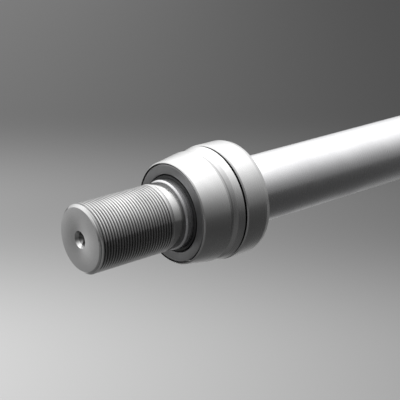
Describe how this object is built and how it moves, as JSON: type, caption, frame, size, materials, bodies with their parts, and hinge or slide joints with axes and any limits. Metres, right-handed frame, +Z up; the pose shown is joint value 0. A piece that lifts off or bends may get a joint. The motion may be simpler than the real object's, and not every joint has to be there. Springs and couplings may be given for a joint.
{
  "type": "ball screw assembly",
  "caption": "Ball screw drive with a smooth hollow thrust rod, threaded rod end, two-piece rod gland with wiper, flanged ball nut and flange-mounted bearing unit.",
  "frame": {"origin": "on the screw axis, in the mounting face of the bearing housing's flange", "axes": "+X along the screw axis, towards the threaded rod end; +Z up, towards the nut's return tube"},
  "size_m": [0.486, 0.063, 0.06],
  "materials": {
    "chromed_rod": "ground and hard chromed",
    "threaded_end": "turned and cut thread",
    "gland_steel": "fine turned and ground",
    "dark_steel": "blackened",
    "black_rubber": "moulded matt",
    "seal_plastic": "machined",
    "bronze": "machined bronze",
    "cage_brass": "machined brass",
    "ground_screw": "induction hardened and ground",
    "bearing_steel": "ground",
    "ball_steel": "polished",
    "nut_steel": "ground and turned",
    "housing_steel": "black oxide with ground faces",
    "fastener_steel": "black oxide",
    "tube_steel": "drawn"
  },
  "bodies": {
    "bearing_unit": {"bearing_housing": "housing_steel", "bearing_cover": "housing_steel", "cover_screws": "fastener_steel", "outer_ring_front": "bearing_steel", "outer_ring_rear": "bearing_steel", "oil_seal_front": "black_rubber", "oil_seal_rear": "black_rubber", "bumper": "black_rubber"},
    "screw": {"screw_shaft": "ground_screw", "nose_bush": "seal_plastic", "nose_circlip": "dark_steel", "spacer_front": "bearing_steel", "spacer_rear": "bearing_steel", "inner_ring_front": "bearing_steel", "inner_ring_rear": "bearing_steel", "lock_nut": "housing_steel", "lock_nut_set_screws": "fastener_steel"},
    "ball_cages": {"bearing_balls_front": "ball_steel", "bearing_balls_rear": "ball_steel", "bearing_cage_front": "cage_brass", "bearing_cage_rear": "cage_brass"},
    "thrust_rod": {"thrust_tube": "chromed_rod", "rod_end": "threaded_end", "rod_end_o_ring": "black_rubber", "nut_adapter": "nut_steel", "hub_grub_screws": "fastener_steel", "guide_ring": "seal_plastic", "anti_rotation_key": "bronze", "key_screws": "fastener_steel", "ball_nut": "nut_steel", "nut_flange_screws": "fastener_steel", "nut_wiper_front": "seal_plastic", "nut_wiper_rear": "seal_plastic", "nut_balls": "ball_steel", "return_tube": "tube_steel", "return_tube_clamp": "dark_steel", "clamp_screws": "fastener_steel", "grease_nipple": "cage_brass"},
    "gland": {"gland_body": "gland_steel", "gland_ring": "gland_steel", "gland_o_ring": "black_rubber", "wiper_retainer": "dark_steel", "wiper_seal": "black_rubber", "rod_seal": "seal_plastic", "guide_bush": "bronze"}
  },
  "joints": [
    {"name": "screw_spin", "type": "hinge", "parent": "bearing_unit", "child": "screw", "pos_m": [0, 0, 0], "axis": [-1, 0, 0], "range_deg": [-2520, 3240]},
    {"name": "rod_travel", "type": "slide", "parent": "bearing_unit", "child": "thrust_rod", "axis": [1, 0, 0], "range_m": [-0.07, 0.09]},
    {"name": "cage_spin", "type": "hinge", "parent": "bearing_unit", "child": "ball_cages", "pos_m": [0, 0, 0], "axis": [-1, 0, 0], "range_deg": [-1000, 1285]},
    {"name": "gland_slide", "type": "slide", "parent": "thrust_rod", "child": "gland", "axis": [-1, 0, 0], "range_m": [-0.003, 0.15]}
  ],
  "couplings": [
    {"joint": "screw_spin", "follows": "rod_travel", "rad_per_m": 628.32},
    {"joint": "cage_spin", "follows": "rod_travel", "rad_per_m": 247.56}
  ]
}
